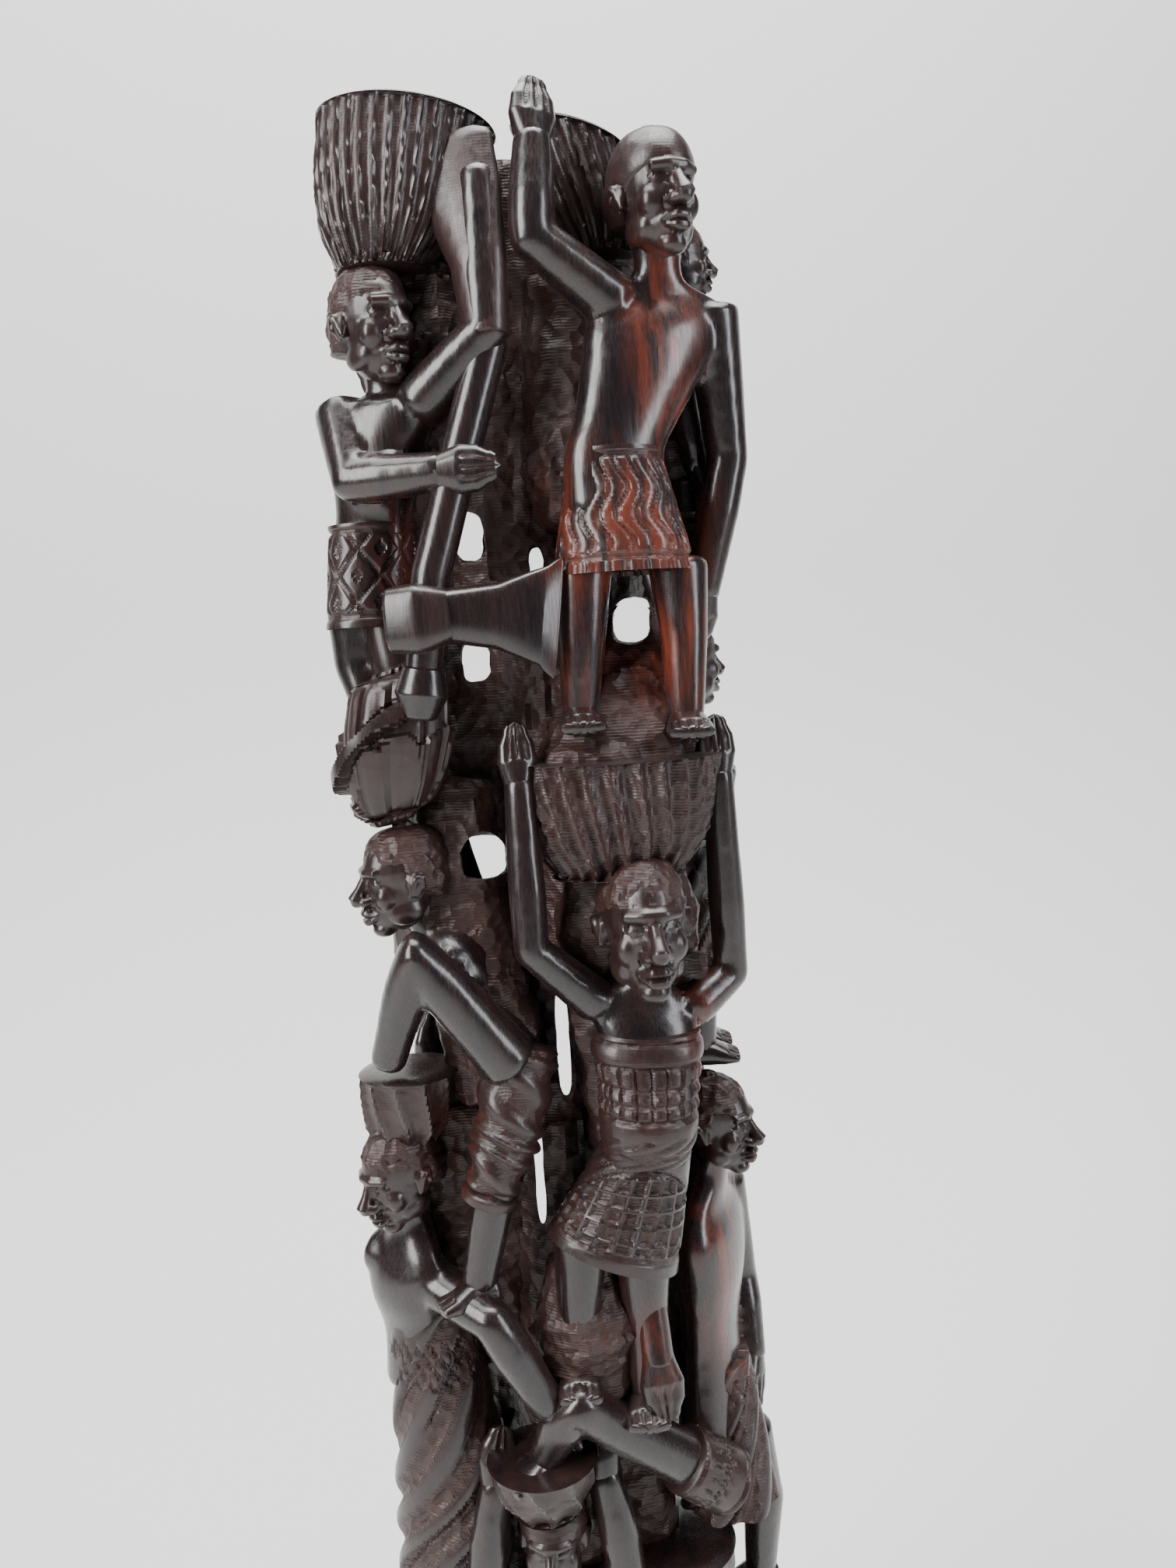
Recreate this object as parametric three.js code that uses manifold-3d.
// A Makonde ujamaa carving, or tree of people: one log of blackwood, carved right through into tiers of
// people who stand on each other's heads and loads. Millimetres, +Z up, the origin under the middle of the
// base, and the side with the clasped axe towards -Y.
import * as THREE from "three";
import { mergeVertices } from "three/addons/utils/BufferGeometryUtils.js";
import Module from "manifold-3d";

const wasm = await Module();
wasm.setup();

// Driving dimensions
const LOG_RADIUS = 62;
const FIGURE_HEIGHT = 156;
const BASE_RADIUS = 66;
const BASE_HEIGHT = 22;
const BASE_CHAMFER = 4;
const HEAD_HALF_HEIGHT = 16.5;
const NECK_RADIUS = 5.5;
const ARM_RADIUS = 5.9;
const WRIST_RADIUS = 4.8;
const THIGH_RADIUS = 8.2;
const KNEE_RADIUS = 6.6;
const ANKLE_RADIUS = 5;
const CHEST_HALF_WIDTH = 16;
const CHEST_HALF_DEPTH = 10.5;
const WAIST_HALF_WIDTH = 11.5;
const CORE_RADIUS = 37;
const FLUTE_DEPTH = 1.8;
const HANDLE_RADIUS = 5.4;
const AXE_THICKNESS = 11;
const AXE_EDGE_THICKNESS = 2.6;
const AXE_EDGE_HEIGHT = 29;
const AXE_NECK_HEIGHT = 12.5;
const AXE_BLOCK_HEIGHT = 15;
const AXE_BLOCK_DEPTH = 12;

// The loads: radius of the foot and of the rim
const BEARER_BASKET = [13.5, 25.5];
const MAN_BASKET = [10, 17.5];
const WOMAN_BASKET = [20, 32];
const POT = [9.5, 15.5];
const BOWL = [9, 14.8];

// The bundles: radius and half height
const CLIMBER_BUNDLE = [18.5, 21];
const CLOTH_MOUND = [19, 21];

// The cloths: half width and half depth at the hem
const BEARER_WRAP = [13, 12];
const MAN_WRAP = [20.5, 15];
const WOMAN_WRAP = [19.5, 15];
const LONG_DRESS = [17.5, 15];
const SEATED_WRAP = [17, 17];
const TROUSER_RADII = [10, 9.5, 6.5];

// How finely the facets are cut
const LIMB_SIDES = 6;
const PLAIN_LIMB_SIDES = 4;
const BODY_SIDES = 8;
const WRAP_SIDES = 10;
const PLAIN_LOAD_SIDES = 9;
const CORE_SIDES = 10;
const CORE_RINGS = 9;
const BASE_SIDES = 20;

// How far the core's middle is set back, in percent of the log
const CORE_SET_BACK = -6;

// A body further out than this, in percent of the log, keeps a web of wood between itself and the core
const DEEPEST_CENTRE = 66;

// Corners closer together than this are cut as one, where the skin stays whole
const SHORTEST_EDGE = 2.2;
const LARGEST_TURN = Math.cos(THREE.MathUtils.degToRad(35));

// The hand's and the foot's length, in radii of the wrist and of the ankle
const HAND_LENGTH = 2.1;
const FOOT_LENGTH = 2.9;

const OUTWARDS = new THREE.Vector3(0, -1, 0);
const UPWARDS = new THREE.Vector3(0, 0, 1);

// A point of the log: shares, in percent, of the log's radius across and outwards, and of a figure's
// height above the base. turn swings the whole frame round the log's axis.
function logPoint([across, out, up], turn = 0) {
  return new THREE.Vector3(
    (across * LOG_RADIUS) / 100,
    (-out * LOG_RADIUS) / 100,
    BASE_HEIGHT + (up * FIGURE_HEIGHT) / 100,
  ).applyAxisAngle(UPWARDS, THREE.MathUtils.degToRad(turn));
}

// A place of the front, above the level where its figure stands
function place([across, out, up], stand) {
  return logPoint([across, out, up + stand]);
}

// A closed three.js geometry of about unit size with its shared vertices joined.
function welded(geometry) {
  geometry.deleteAttribute("normal");
  geometry.deleteAttribute("uv");
  return mergeVertices(geometry, 1e-4);
}

// A welded geometry as a solid whose faces point out.
function solidOf(geometry) {
  const position = geometry.getAttribute("position");
  const triVerts = new Uint32Array(geometry.index.array);
  const [a, b, c] = [new THREE.Vector3(), new THREE.Vector3(), new THREE.Vector3()];
  let volume = 0;
  for (let i = 0; i < triVerts.length; i += 3) {
    a.fromBufferAttribute(position, triVerts[i]);
    b.fromBufferAttribute(position, triVerts[i + 1]);
    c.fromBufferAttribute(position, triVerts[i + 2]);
    volume += a.dot(b.cross(c));
  }
  if (volume < 0) {
    for (let i = 0; i < triVerts.length; i += 3) {
      [triVerts[i + 1], triVerts[i + 2]] = [triVerts[i + 2], triVerts[i + 1]];
    }
  }
  return new wasm.Manifold(
    new wasm.Mesh({ numProp: 3, vertProperties: position.array, triVerts }),
  );
}

// Moves every vertex of a geometry by a function of its place.
function reshaped(geometry, move) {
  const position = geometry.getAttribute("position");
  const p = new THREE.Vector3();
  for (let i = 0; i < position.count; i += 1) {
    p.fromBufferAttribute(position, i);
    const q = move(p);
    position.setXYZ(i, q.x, q.y, q.z);
  }
  return geometry;
}

// A cylinder refitted to rings, from the top ring down. A ring is { centre, across, deep, swell }: two half
// axes as vectors, and an optional share by which a vertex at an angle stands out. tips round its ends.
function lofted(rings, sides, tips = [0, 0]) {
  const last = rings.length - 1;
  const start = rings[0].centre.clone().sub(rings[1].centre).normalize();
  const end = rings[last].centre.clone().sub(rings[last - 1].centre).normalize();
  const cylinder = welded(new THREE.CylinderGeometry(1, 1, 1, sides, last));
  return solidOf(
    reshaped(cylinder, ({ x, y, z }) => {
      const index = Math.round((0.5 - y) * last);
      const ring = rings[index];
      if (Math.hypot(x, z) < 0.5) {
        const away = index === 0 ? start : end;
        return ring.centre.clone().addScaledVector(away, tips[index === 0 ? 0 : 1]);
      }
      const share = ring.swell ? ring.swell(Math.atan2(x, z)) : 1;
      return ring.centre
        .clone()
        .addScaledVector(ring.across, x * share)
        .addScaledVector(ring.deep, z * share);
    }),
  );
}

// One bent and tapered limb along a few points, with half its breadth and half its depth at each.
function limb(points, sections, { sides = LIMB_SIDES, facing = OUTWARDS, tips = [3, 2] } = {}) {
  const rings = points.map((centre, i) => {
    const before = points[Math.max(i - 1, 0)];
    const after = points[Math.min(i + 1, points.length - 1)];
    const along = before.clone().sub(after).normalize();
    const helper = Math.abs(along.dot(facing)) > 0.85 ? UPWARDS : facing;
    const across = new THREE.Vector3().crossVectors(along, helper).normalize();
    const deep = new THREE.Vector3().crossVectors(across, along);
    const [breadth, depth] = sections[i];
    return { centre, across: across.multiplyScalar(breadth), deep: deep.multiplyScalar(depth) };
  });
  return lofted(rings, sides, tips);
}

// A block between two points, tapered from one cross-section to the other.
function wedge(from, to, [width, depth], [endWidth, endDepth], facing = OUTWARDS) {
  const along = to.clone().sub(from);
  const across = new THREE.Vector3().crossVectors(along, facing).normalize();
  const deep = new THREE.Vector3().crossVectors(across, along).normalize();
  return solidOf(
    reshaped(welded(new THREE.BoxGeometry(1, 1, 1)), ({ x, y, z }) => {
      const share = y + 0.5;
      return from
        .clone()
        .addScaledVector(along, share)
        .addScaledVector(across, x * THREE.MathUtils.lerp(width, endWidth, share))
        .addScaledVector(deep, z * THREE.MathUtils.lerp(depth, endDepth, share));
    }),
  );
}

// The direction in which a face or chest looks: yaw from the log's front towards +X, pitch above level.
function lookingTo(yaw, pitch = 0) {
  const [a, b] = [THREE.MathUtils.degToRad(yaw), THREE.MathUtils.degToRad(pitch)];
  return new THREE.Vector3(
    Math.sin(a) * Math.cos(b),
    -Math.cos(a) * Math.cos(b),
    Math.sin(b),
  );
}

// The carved head, from crown to chin: height of a level, half breadth, depth in front and behind, and how
// far the ridge of the face stands out there. All are shares of half the head's height.
const HEAD_LEVELS = [
  { up: 0.76, breadth: 0.5, front: 0.5, back: 0.52, ridge: 1 },
  { up: 0.28, breadth: 0.76, front: 0.8, back: 0.86, ridge: 1.03 },
  { up: 0.02, breadth: 0.7, front: 0.68, back: 0.84, ridge: 1.14 },
  { up: -0.28, breadth: 0.66, front: 0.74, back: 0.7, ridge: 1.34 },
  { up: -0.6, breadth: 0.5, front: 0.76, back: 0.4, ridge: 1.06 },
  { up: -0.9, breadth: 0.32, front: 0.66, back: 0.02, ridge: 1 },
];

// The heads at the sides and the back, in fewer levels
const PLAIN_HEAD_LEVELS = HEAD_LEVELS.filter(({ up }) => up !== 0.02);

function headRings(levels, centre, half, yaw, pitch) {
  const face = lookingTo(yaw, pitch);
  const side = new THREE.Vector3().crossVectors(UPWARDS, face).normalize();
  const top = new THREE.Vector3().crossVectors(face, side);
  return levels.map(({ up, breadth, front, back, ridge }) => ({
    centre: centre
      .clone()
      .addScaledVector(top, up * half)
      .addScaledVector(face, ((front - back) / 2) * half),
    across: side.clone().multiplyScalar(breadth * half),
    deep: face.clone().multiplyScalar(((front + back) / 2) * half),
    swell: (angle) => (Math.abs(angle) < 0.1 ? ridge : 1),
  }));
}

// Head, neck and trunk of one person in a single form. skirt, if any, is the hem of a plain wrap.
function body({ headCentre, yaw, pitch, neck, shoulders, waist, hips, size, skirt, breadth, plain }) {
  const line = shoulders[1].clone().sub(shoulders[0]).normalize();
  const middle = shoulders[0].clone().add(shoulders[1]).multiplyScalar(0.5);
  const spine = neck.clone().sub(waist).normalize();
  const deep = new THREE.Vector3().crossVectors(line, spine).normalize();
  const ring = (centre, halfWidth, halfDepth) => ({
    centre,
    across: line.clone().multiplyScalar(halfWidth * breadth * size),
    deep: deep.clone().multiplyScalar(halfDepth * size),
  });
  const below = skirt
    ? [
        ring(hips, WAIST_HALF_WIDTH * 1.25, CHEST_HALF_DEPTH * 1.2),
        ring(skirt, CHEST_HALF_WIDTH * 1.24, CHEST_HALF_WIDTH),
      ]
    : [ring(hips, WAIST_HALF_WIDTH * 1.05, CHEST_HALF_DEPTH)];
  const chest = ring(middle.clone().lerp(waist, 0.4), CHEST_HALF_WIDTH * 0.88, CHEST_HALF_DEPTH);
  const levels = plain ? PLAIN_HEAD_LEVELS : HEAD_LEVELS;
  const rings = [
    ...headRings(levels, headCentre, HEAD_HALF_HEIGHT * size, yaw, pitch),
    ring(neck, NECK_RADIUS, NECK_RADIUS),
    ring(middle, CHEST_HALF_WIDTH * 0.94, CHEST_HALF_DEPTH * (plain ? 0.9 : 0.72)),
    ...(plain ? [] : [chest]),
    ring(waist, WAIST_HALF_WIDTH, CHEST_HALF_DEPTH * 0.86),
    ...below,
  ];
  return lofted(rings, BODY_SIDES, [HEAD_HALF_HEIGHT * 0.2 * size, skirt ? -4 : 2]);
}

// A wrapped cloth from waist to hem, with a rolled edge at the hem and folds that stand out.
function wrap(waist, hem, [halfWidth, halfDepth], { folds = 0, turn = 0, tilt = 0 } = {}) {
  const swing = (vector) => vector.applyAxisAngle(UPWARDS, THREE.MathUtils.degToRad(turn));
  const ring = (share, width, depth, ripple) => ({
    centre: waist.clone().lerp(hem, share),
    across: swing(new THREE.Vector3(1, 0, tilt * share)).multiplyScalar(width),
    deep: swing(OUTWARDS.clone()).multiplyScalar(depth),
    swell: (angle) => 1 + ripple * folds * Math.cos((angle * WRAP_SIDES) / 2),
  });
  const [w, d] = [WAIST_HALF_WIDTH * 1.12, CHEST_HALF_DEPTH * 1.05];
  return lofted(
    [
      ring(0, w, d, 0),
      ring(0.45, (w + halfWidth) / 2, (d + halfDepth) / 2, 0.7),
      ring(1, halfWidth, halfDepth, 1),
    ],
    WRAP_SIDES,
    [0, -5],
  );
}

// A basket that widens from its foot to its rim, fluted where flutes is set, and heaped a little on top.
function basket(foot, rim, [footRadius, rimRadius], { flutes = 0, heap = 3, slant = 0, depth = 0.94 } = {}) {
  const ring = (share, radius, ripple) => ({
    centre: foot.clone().lerp(rim, share),
    across: new THREE.Vector3(radius, 0, share * slant),
    deep: new THREE.Vector3(0, -radius * depth, 0),
    swell: (angle) => 1 + ((ripple * FLUTE_DEPTH) / radius) * (flutes ? Math.cos(angle * flutes) : 0),
  });
  const belly = THREE.MathUtils.lerp(footRadius, rimRadius, 0.72);
  return lofted(
    [ring(1, rimRadius, 1), ring(0.45, belly, 1), ring(0, footRadius, 0)],
    flutes ? 2 * flutes : PLAIN_LOAD_SIDES,
    [heap, 1],
  );
}

// One person. Places are log points above the level where the person stands.
function person(pose, { turn = 0, stand = 0, size = 1, sides = LIMB_SIDES } = {}) {
  const at = ([across, out, up]) => logPoint([across, out, up * size + stand], turn);
  const shoulders = pose.shoulders.map(at);
  const facing = lookingTo(pose.head.yaw + turn);
  const sized = (pairs) => pairs.map(([breadth, depth]) => [breadth * size, depth * size]);
  const parts = [
    body({
      headCentre: at(pose.head.at),
      yaw: pose.head.yaw + turn,
      pitch: pose.head.pitch,
      neck: at(pose.neck),
      shoulders,
      waist: at(pose.waist),
      hips: at(pose.hips),
      size,
      skirt: pose.skirt ? at(pose.skirt) : null,
      breadth: pose.breadth ?? 1,
      plain: sides < LIMB_SIDES,
    }),
  ];
  for (const [i, arm] of pose.arms.entries()) {
    const [elbow, wrist] = arm.map(at);
    const reach = wrist.clone().sub(elbow).setLength(HAND_LENGTH * WRIST_RADIUS * size);
    parts.push(
      limb(
        [shoulders[i], elbow, wrist, wrist.clone().add(reach)],
        sized([
          [ARM_RADIUS * 1.15, ARM_RADIUS * 1.15],
          [ARM_RADIUS, ARM_RADIUS],
          [WRIST_RADIUS, WRIST_RADIUS],
          [WRIST_RADIUS * 1.3, WRIST_RADIUS * 0.7],
        ]),
        { sides, facing },
      ),
    );
  }
  for (const leg of pose.legs ?? []) {
    const joints = leg.map(at);
    const [ankle] = joints.slice(-1);
    const toes = lookingTo((pose.stance ?? 0) + turn)
      .multiplyScalar(FOOT_LENGTH * ANKLE_RADIUS * size)
      .add(ankle);
    toes.z -= ANKLE_RADIUS * 0.4;
    const knee = joints.length > 2 ? [[KNEE_RADIUS, KNEE_RADIUS]] : [];
    parts.push(
      limb(
        [...joints, toes],
        sized([
          [THIGH_RADIUS, THIGH_RADIUS],
          ...knee,
          [ANKLE_RADIUS, ANKLE_RADIUS * 1.2],
          [ANKLE_RADIUS * 1.25, ANKLE_RADIUS * 0.6],
        ]),
        { sides, facing },
      ),
    );
  }
  return parts;
}

// The woman on the right who carries a fluted basket with both arms
const RAISED_ARMS_WOMAN = {
  stand: 181,
  head: { at: [44, 76, 94], yaw: 8, pitch: 0 },
  neck: [44, 68, 82],
  shoulders: [
    [19, 69, 78],
    [66, 63, 75],
  ],
  waist: [42, 71, 55],
  hips: [40, 70, 46],
  arms: [
    [
      [-10, 81, 90],
      [-11, 76, 121],
    ],
    [
      [87, 53, 80],
      [84, 60, 120],
    ],
  ],
  legs: [
    [
      [5, 69, 32],
      [2, 71, 19],
      [0, 71, 5],
    ],
    [
      [35, 66, 27],
      [34, 66, 12],
      [32, 69, -2],
    ],
  ],
};

// The climber on the left, one knee drawn up and a foot on the pot below
const CLIMBER = {
  stand: 203,
  stance: -70,
  head: { at: [-69, 58, 81], yaw: -72, pitch: -4 },
  neck: [-58, 52, 71],
  shoulders: [
    [-40, 30, 68],
    [-52, 64, 68],
  ],
  waist: [-34, 55, 55],
  hips: [-24, 60, 45],
  arms: [
    [
      [-30, 32, 84],
      [-46, 42, 97],
    ],
  ],
  legs: [
    [
      [-24, 74, 46],
      [-63, 85, 69],
      [-82, 68, 47],
    ],
    [
      [-22, 65, 45],
      [-30, 74, 29],
      [-46, 73, 2],
    ],
  ],
};

// The woman in a long folded dress who reaches across
const REACHING_WOMAN = {
  stand: 131,
  head: { at: [-81, 58, 95], yaw: -52, pitch: -14 },
  neck: [-78, 52, 84],
  shoulders: [
    [-97, 38, 76],
    [-68, 65, 77],
  ],
  waist: [-81, 45, 58],
  hips: [-80, 45, 50],
  arms: [
    [
      [-100, 36, 60],
      [-92, 52, 50],
    ],
    [
      [-40, 85, 69],
      [-16, 82, 50],
    ],
  ],
};

// The seated man on the right, thigh drawn across and foot on the bowl
const SEATED_MAN = {
  stand: 118,
  stance: -60,
  head: { at: [80, 20, 107], yaw: 60, pitch: 0 },
  neck: [76, 20, 96],
  shoulders: [
    [86, -10, 89],
    [66, 36, 89],
  ],
  waist: [72, 20, 58],
  hips: [70, 26, 42],
  arms: [
    [
      [94, -14, 66],
      [96, 2, 50],
    ],
    [
      [84, 46, 66],
      [88, 46, 48],
    ],
  ],
  legs: [
    [
      [70, 54, 37],
      [-4, 85, 64],
      [-20, 78, 51],
    ],
    [
      [90, 14, 36],
      [98, 12, 19],
      [95, 10, 1],
    ],
  ],
};

// The basket bearer at the top left, who clasps the axe and stands on the climber's bundle
const BASKET_BEARER = {
  stand: CLIMBER.stand + 112,
  head: { at: [-64, 61, 70], yaw: 40, pitch: 0 },
  neck: [-60, 57, 59],
  shoulders: [
    [-82, 50, 56],
    [-44, 66, 56],
  ],
  waist: [-73, 44, 35],
  hips: [-76, 44, 24],
  arms: [
    [
      [-77, 68, 43],
      [-36, 83, 43],
    ],
    [
      [-12, 80, 67],
      [-12, 72, 94],
    ],
  ],
  legs: [
    [
      [-84, 42, 20],
      [-85, 42, 10],
      [-78, 48, 0],
    ],
    [
      [-68, 48, 20],
      [-66, 52, 10],
      [-63, 55, 0],
    ],
  ],
};

// The standing man at the top right, on the basket of the woman below
const STANDING_MAN = {
  stand: RAISED_ARMS_WOMAN.stand + 131,
  head: { at: [66, 68, 92], yaw: 24, pitch: 0 },
  neck: [67, 61, 79],
  shoulders: [
    [45, 66, 75],
    [92, 51, 74],
  ],
  waist: [42, 68, 48],
  hips: [43, 68, 38],
  arms: [
    [
      [10, 81, 85],
      [13, 75, 102],
    ],
    [
      [98, 42, 48],
      [83, 40, 23],
    ],
  ],
  legs: [
    [
      [24, 68, 28],
      [22, 69, 15],
      [20, 68, 2],
    ],
    [
      [69, 65, 28],
      [70, 66, 15],
      [69, 68, 0],
    ],
  ],
};

// The crouching man at the foot, hands on his knees
const CROUCHER = {
  stand: 0,
  head: { at: [-6, 74, 46], yaw: 0, pitch: 8 },
  neck: [-6, 66, 37],
  shoulders: [
    [-30, 62, 34],
    [18, 62, 34],
  ],
  waist: [-6, 54, 18],
  hips: [-6, 52, 8],
  arms: [
    [
      [-42, 74, 22],
      [-32, 92, 26],
    ],
    [
      [30, 74, 22],
      [20, 92, 26],
    ],
  ],
  legs: [
    [
      [-18, 60, 10],
      [-34, 92, 24],
      [-28, 84, 3],
    ],
    [
      [6, 60, 10],
      [22, 92, 24],
      [16, 84, 3],
    ],
  ],
};

// A standing person for the other places: centre is how far out the body stands, in percent
function standing({ centre = 62, across = 0, arms, yaw = 0, hem = 2, size = 1, breadth = 1 }) {
  const beside = (share, out, up) => [across + share * breadth * size, centre + out * size, up];
  const ways = {
    raised: (side) => [beside(side * 36, 4, 84), beside(side * 27, 0, 104)],
    lowered: (side) => [beside(side * 33, 0, 53), beside(side * 28, 8, 36)],
    folded: (side) => [beside(side * 34, 2, 55), beside(side * 10, 16, 61)],
  };
  return {
    head: { at: beside(0, 3, 92), yaw, pitch: 0 },
    neck: beside(0, -3, 80),
    shoulders: [beside(-22, 0, 75), beside(22, 0, 75)],
    waist: beside(0, 0, 50),
    hips: beside(0, 0, 42),
    skirt: beside(0, -1, hem),
    breadth,
    arms: [ways[arms[0]](-1), ways[arms[1]](1)],
    legs: hem > 8 ? [-14, 14].map((side) => [beside(side, 0, hem + 6), beside(side, 0, 3)]) : [],
  };
}

// A standing person with a load on the head: everything that fills one place on the log
function bearer({ turn, stand, size = 1, sides = PLAIN_LIMB_SIDES, load, ...stance }) {
  const pose = standing({ ...stance, size });
  const { centre = 62, across = 0 } = stance;
  const parts = person(pose, { turn, stand, size, sides });
  if (centre > DEEPEST_CENTRE) {
    parts.push(
      wedge(
        logPoint([across, 30, stand + 28 * size], turn),
        logPoint([across, centre, stand + 62 * size], turn),
        [WAIST_HALF_WIDTH, FIGURE_HEIGHT * 0.3],
        [WAIST_HALF_WIDTH, FIGURE_HEIGHT * 0.3 * size],
        UPWARDS,
      ),
    );
  }
  if (load) {
    const level = stand + 101 * size;
    const bottom = logPoint([across, centre, level], turn);
    const top = logPoint([across, centre - 4, level + load.rise], turn);
    parts.push(
      load.kind === "bundle"
        ? bundle(bottom.clone().lerp(top, 0.5), [load.radius, (load.rise * FIGURE_HEIGHT) / 170])
        : basket(bottom, top, [load.radius * 0.55, load.radius], { flutes: load.flutes }),
    );
  }
  return parts;
}

// A knobbly bundle in flat knife cuts
function bundle(centre, [radius, halfHeight]) {
  return solidOf(
    reshaped(welded(new THREE.IcosahedronGeometry(1, 1)), ({ x, y, z }) => {
      const knob = 1 + 0.07 * Math.sin(5 * x + 3 * y) * Math.cos(4 * z - 2 * x);
      return new THREE.Vector3(x * radius, y * radius, z * halfHeight)
        .multiplyScalar(knob)
        .add(centre);
    }),
  );
}

// The rough heartwood left standing behind the people, uneven all the way up to the bearer's brow
function heartwood() {
  const foot = -2;
  const top = BASKET_BEARER.stand + 83;
  const rings = Array.from({ length: CORE_RINGS }, (_, i) => ({
    centre: logPoint([
      4 * Math.sin(i * 1.7),
      CORE_SET_BACK + 4 * Math.cos(i * 2.3),
      THREE.MathUtils.lerp(foot, top, i / (CORE_RINGS - 1)),
    ]),
    across: new THREE.Vector3(CORE_RADIUS, 0, 0),
    deep: new THREE.Vector3(0, -CORE_RADIUS, 0),
    swell: (angle) => 1 + 0.13 * Math.sin(3 * angle + i * 2.1) + 0.08 * Math.cos(5 * angle - i * 1.3),
  }));
  return lofted(rings.reverse(), CORE_SIDES, [4, 0]);
}

// A window cut right through between the people, from its front mouth to its back one
function carvedWindow([from, to, width, height]) {
  const ring = (centre) => ({
    centre,
    across: new THREE.Vector3(width / 2, 0, 0),
    deep: new THREE.Vector3(0, 0, height / 2),
  });
  return lofted([ring(from), ring(to)], LIMB_SIDES);
}

// The windows by their front mouth, back mouth, width and height in millimetres
const WINDOWS = [
  [place([-33, 60, 29], BASKET_BEARER.stand), place([-40, -110, 37], BASKET_BEARER.stand), 9, 15],
  [place([3, 60, 32], STANDING_MAN.stand), place([10, -110, 38], STANDING_MAN.stand), 5, 18],
  [place([47, 60, 28], STANDING_MAN.stand), place([56, -110, 32], STANDING_MAN.stand), 8, 11],
  [place([-29, 60, 86], CLIMBER.stand), place([-30, -110, 81], CLIMBER.stand), 12, 13],
  [place([2, 60, 81], RAISED_ARMS_WOMAN.stand), place([14, -110, 81], RAISED_ARMS_WOMAN.stand), 6, 26],
  [place([-1, 60, 45], RAISED_ARMS_WOMAN.stand), place([10, -110, 41], RAISED_ARMS_WOMAN.stand), 5, 22],
];

const SIDE_AND_BACK = [
  // The right side, below the standing man's hand
  { turn: 84, stand: 332, size: 0.74, centre: 82, arms: ["lowered", "lowered"], yaw: 16 },
  { turn: 90, stand: 238, size: 0.91, centre: 76, arms: ["folded", "lowered"], yaw: 30, hem: 16 },
  { turn: 92, stand: 0, size: 1.06, centre: 60, breadth: 1.2, arms: ["folded", "raised"] },
  // The back
  ...[
    { stand: 0, arms: ["raised", "lowered"], load: { radius: 24, rise: 32, flutes: 8 } },
    { stand: 136, arms: ["raised", "raised"], hem: 18, load: { radius: 24, rise: 30, kind: "bundle" } },
    { stand: 274, arms: ["folded", "raised"], load: { radius: 26, rise: 30, flutes: 9 } },
  ].map((bearer) => ({ turn: 154, breadth: 1.3, ...bearer })),
  // The left side
  ...[
    { stand: 0, arms: ["folded", "folded"], hem: 20, load: { radius: 23, rise: 30, kind: "bundle" } },
    { stand: 136, arms: ["lowered", "raised"], load: { radius: 25, rise: 32, flutes: 8 } },
    { stand: 274, arms: ["raised", "lowered"], load: { radius: 24, rise: 24, flutes: 8 } },
  ].map((bearer) => ({ turn: -122, breadth: 1.3, ...bearer })),
];

// The people of the front, each with cloth and load
function basketBearer() {
  const { stand } = BASKET_BEARER;
  return [
    ...person(BASKET_BEARER, { stand }),
    wrap(place([-73, 44, 36], stand), place([-77, 46, 17], stand), BEARER_WRAP, { folds: 0.03, turn: 20 }),
    basket(place([-58, 54, 80], stand), place([-44, 38, 107.5], stand), BEARER_BASKET, {
      flutes: 12,
      slant: -3,
    }),
  ];
}

function standingMan() {
  const { stand } = STANDING_MAN;
  return [
    ...person(STANDING_MAN, { stand }),
    wrap(place([42, 68, 49], stand), place([44, 67, 27], stand), MAN_WRAP, { folds: 0.05 }),
    basket(place([42, 40, 86], stand), place([32, 32, 108], stand), MAN_BASKET, { flutes: 9, slant: -5 }),
  ];
}

// The axe that the bearer clasps: handle, block and blade
function axe() {
  const { stand } = BASKET_BEARER;
  const handle = [
    [-12, 76, 65],
    [-30, 79, 43],
    [-44, 81, 25],
    [-52, 79, 5],
  ].map((point) => place(point, stand));
  const neck = [AXE_NECK_HEIGHT, AXE_THICKNESS];
  const edge = [AXE_EDGE_HEIGHT, AXE_EDGE_THICKNESS];
  const block = [AXE_BLOCK_HEIGHT, AXE_BLOCK_DEPTH];
  return [
    limb(handle, Array(handle.length).fill([HANDLE_RADIUS, HANDLE_RADIUS])),
    wedge(place([-61, 84, 17.5], stand), place([-38, 84, 18], stand), block, neck),
    wedge(place([-40, 84, 18], stand), place([11, 82, 16.5], stand), neck, edge),
  ];
}

function raisedArmsWoman() {
  const { stand } = RAISED_ARMS_WOMAN;
  return [
    ...person(RAISED_ARMS_WOMAN, { stand }),
    wrap(place([42, 72, 53], stand), place([20, 68, 28], stand), WOMAN_WRAP, { folds: 0.03, tilt: -0.38 }),
    basket(place([34, 62, 102], stand), place([36, 56, 124], stand), WOMAN_BASKET, {
      flutes: 12,
      heap: 5,
      depth: 0.78,
    }),
  ];
}

function climber() {
  const { stand } = CLIMBER;
  return [
    ...person(CLIMBER, { stand }),
    bundle(place([-68, 55, 107], stand), CLIMBER_BUNDLE),
    limb(
      [place([-18, 64, 47], stand), place([-28, 73, 30], stand), place([-40, 74, 17], stand)],
      TROUSER_RADII.map((radius) => [radius, radius]),
      { sides: BODY_SIDES },
    ),
  ];
}

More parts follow.
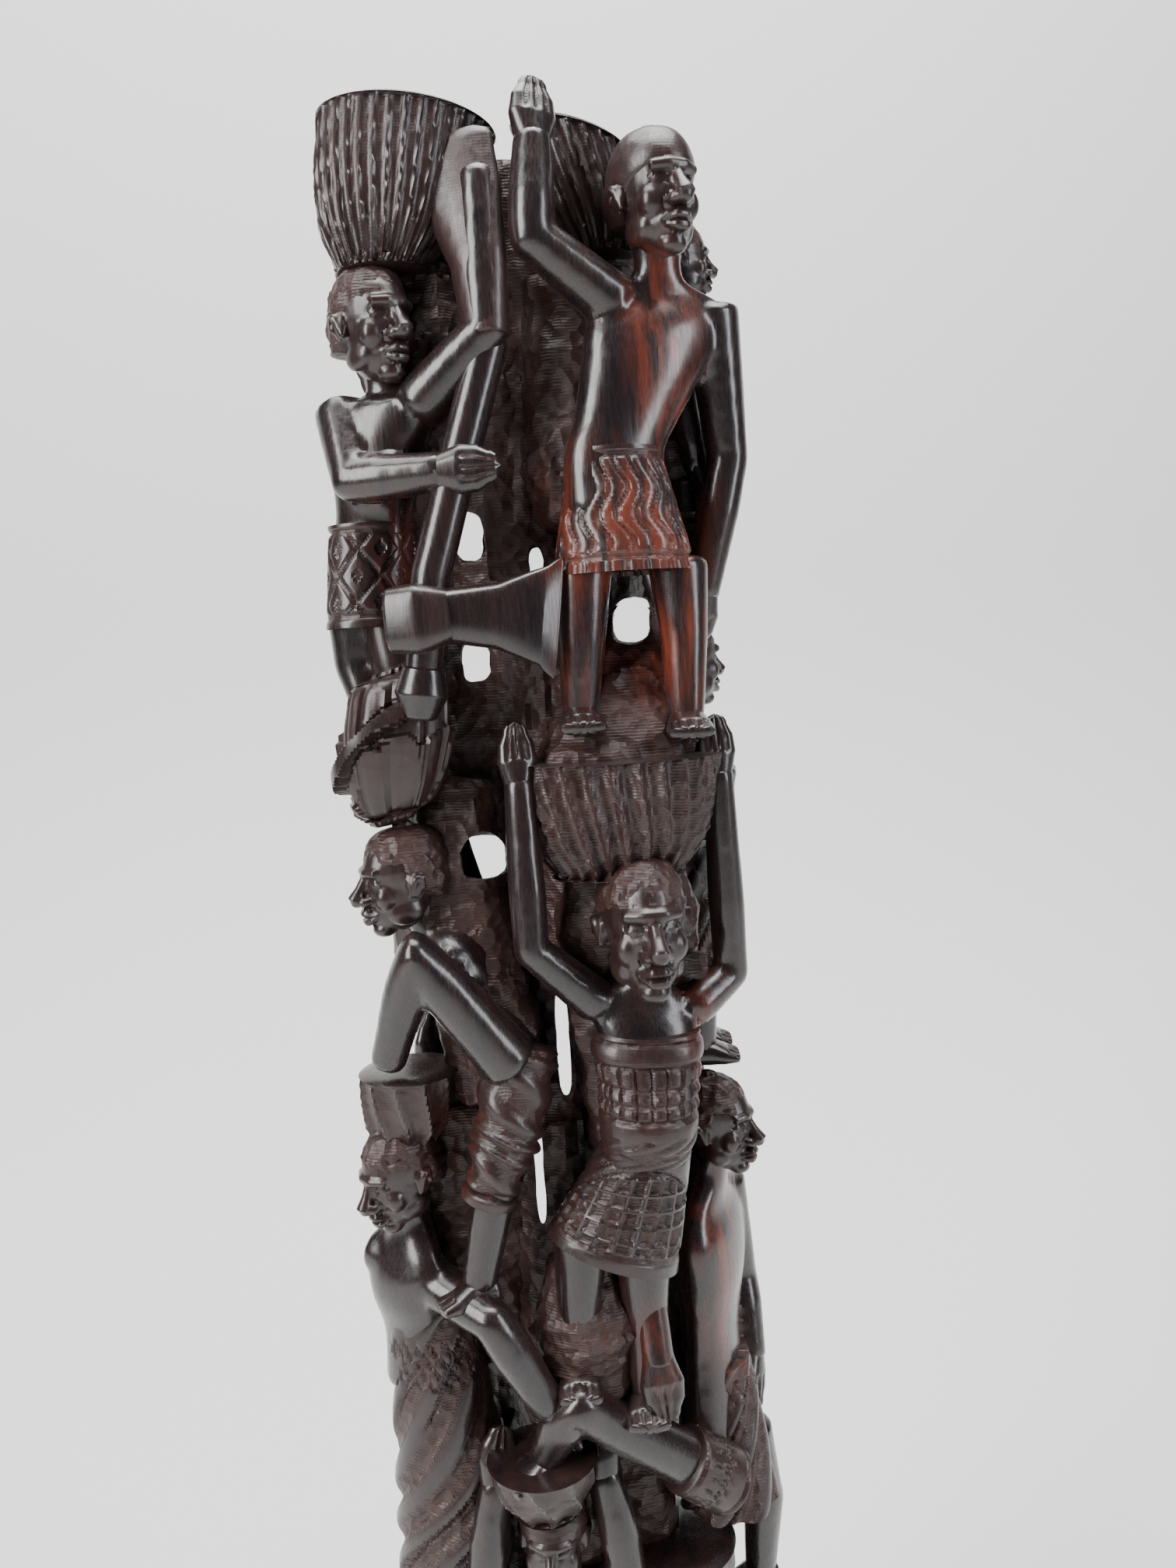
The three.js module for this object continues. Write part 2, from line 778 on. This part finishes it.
function reachingWoman() {
  const { stand } = REACHING_WOMAN;
  return [
    ...person(REACHING_WOMAN, { stand }),
    wrap(place([-81, 45, 60], stand), place([-74, 46, 1], stand), LONG_DRESS, { folds: 0.08 }),
    basket(place([-79, 55, 100], stand), place([-74, 54, 115], stand), POT, { flutes: 7, heap: 2 }),
  ];
}

function seatedMan() {
  const { stand } = SEATED_MAN;
  return [
    ...person(SEATED_MAN, { stand }),
    wrap(place([74, 22, 56], stand), place([76, 30, 26], stand), SEATED_WRAP, { folds: 0.03, turn: 50 }),
  ];
}

function lowerPeople() {
  return [
    // The bearer of the bowl, and the mound of cloth that the woman above stands on
    ...bearer({ turn: 0, stand: 58, across: -18, centre: 66, arms: ["raised", "raised"], yaw: -6, hem: 24 }),
    basket(logPoint([-20, 73, 157]), logPoint([-20, 74, 168]), BOWL, { heap: 1 }),
    bundle(logPoint([5, 58, 192]), CLOTH_MOUND),
    ...person(CROUCHER, {}),
    // The bearers under the seated man and under the woman in the long dress
    ...bearer({
      turn: 44,
      stand: 14,
      centre: 66,
      arms: ["raised", "folded"],
      hem: 20,
      load: { radius: 21, rise: 24, flutes: 8 },
    }),
    ...bearer({
      turn: -56,
      stand: 6,
      centre: 66,
      arms: ["lowered", "raised"],
      yaw: 10,
      load: { radius: 20, rise: 22, flutes: 8 },
    }),
  ];
}

// The low round foot of the log
function base() {
  const ring = (height, radius) => ({
    centre: new THREE.Vector3(0, 0, height),
    across: new THREE.Vector3(radius, 0, 0),
    deep: new THREE.Vector3(0, -radius, 0),
  });
  return lofted(
    [
      ring(BASE_HEIGHT, BASE_RADIUS - BASE_CHAMFER),
      ring(BASE_HEIGHT - BASE_CHAMFER, BASE_RADIUS),
      ring(0, BASE_RADIUS),
    ],
    BASE_SIDES,
  );
}

// The windows open the heartwood and the people behind, before those in front are joined on
const behind = wasm.Manifold.union([heartwood(), ...SIDE_AND_BACK.flatMap(bearer)]);
const opened = behind.subtract(wasm.Manifold.union(WINDOWS.map(carvedWindow)));
const carving = wasm.Manifold.union([
  opened,
  base(),
  ...basketBearer(),
  ...standingMan(),
  ...axe(),
  ...raisedArmsWoman(),
  ...climber(),
  ...reachingWoman(),
  ...seatedMan(),
  ...lowerPeople(),
]);

// A solid as a three.js geometry, without the slivers that the joins leave along their lines
function geometryOf(solid) {
  const { vertProperties, triVerts } = solid.getMesh();
  const corners = [];
  for (let i = 0; i < vertProperties.length; i += 3) {
    corners.push(new THREE.Vector3().fromArray(vertProperties, i));
  }
  const facets = [];
  for (let i = 0; i < triVerts.length; i += 3) {
    facets.push([...triVerts.slice(i, i + 3)]);
  }
  joinCloseCorners(corners, facets);
  const geometry = new THREE.BufferGeometry().setFromPoints(
    facets.flatMap((facet) => facet.map((corner) => corners[corner])),
  );
  const merged = mergeVertices(geometry, 1e-5);
  merged.computeVertexNormals();
  return merged;
}

// Joins corners that lie close together. A join is left out where it would fold the skin or turn a facet.
function joinCloseCorners(corners, facets) {
  const around = corners.map(() => new Set());
  facets.forEach((facet, index) => facet.forEach((corner) => around[corner].add(index)));
  const beside = (corner) => new Set([...around[corner]].flatMap((index) => facets[index]));
  const crossOf = (facet, swap = (corner) => corner) => {
    const [a, b, c] = facet.map((corner) => corners[swap(corner)]);
    return b.clone().sub(a).cross(c.clone().sub(a));
  };
  const canJoin = (kept, gone) => {
    const near = beside(kept);
    const shared = [...beside(gone)].filter((corner) => near.has(corner));
    if (shared.length !== 4) {
      return false;
    }
    return [...around[gone]].every((index) => {
      if (facets[index].includes(kept)) {
        return true;
      }
      const before = crossOf(facets[index]);
      const after = crossOf(facets[index], (corner) => (corner === gone ? kept : corner));
      const flat = before.length() < SHORTEST_EDGE * 0.1;
      return after.length() > 1e-3 && (flat || after.normalize().dot(before.normalize()) > LARGEST_TURN);
    });
  };
  const join = (kept, gone) => {
    for (const index of around[gone]) {
      const facet = facets[index];
      if (facet.includes(kept)) {
        facet.forEach((corner) => around[corner].delete(index));
        facets[index] = [];
      } else {
        facets[index] = facet.map((corner) => (corner === gone ? kept : corner));
        around[kept].add(index);
      }
    }
    around[gone].clear();
  };
  const joinRoundFacet = (index) => {
    for (let side = 0; side < 3 && facets[index].length; side += 1) {
      const pair = [facets[index][side], facets[index][(side + 1) % 3]];
      if (corners[pair[0]].distanceTo(corners[pair[1]]) < SHORTEST_EDGE) {
        const order = [pair, [...pair].reverse()].find(([kept, gone]) => canJoin(kept, gone));
        if (order) {
          join(...order);
          return true;
        }
      }
    }
    return false;
  };
  let joined = true;
  while (joined) {
    joined = facets.map((_, index) => joinRoundFacet(index)).some(Boolean);
  }
}

const wood = new THREE.MeshStandardMaterial({ color: 0x1c1210, roughness: 0.34, metalness: 0 });
const ujamaa = new THREE.Mesh(geometryOf(carving), wood);
ujamaa.name = "ujamaa_carving";

const group = new THREE.Group();
group.add(ujamaa);
export default group;
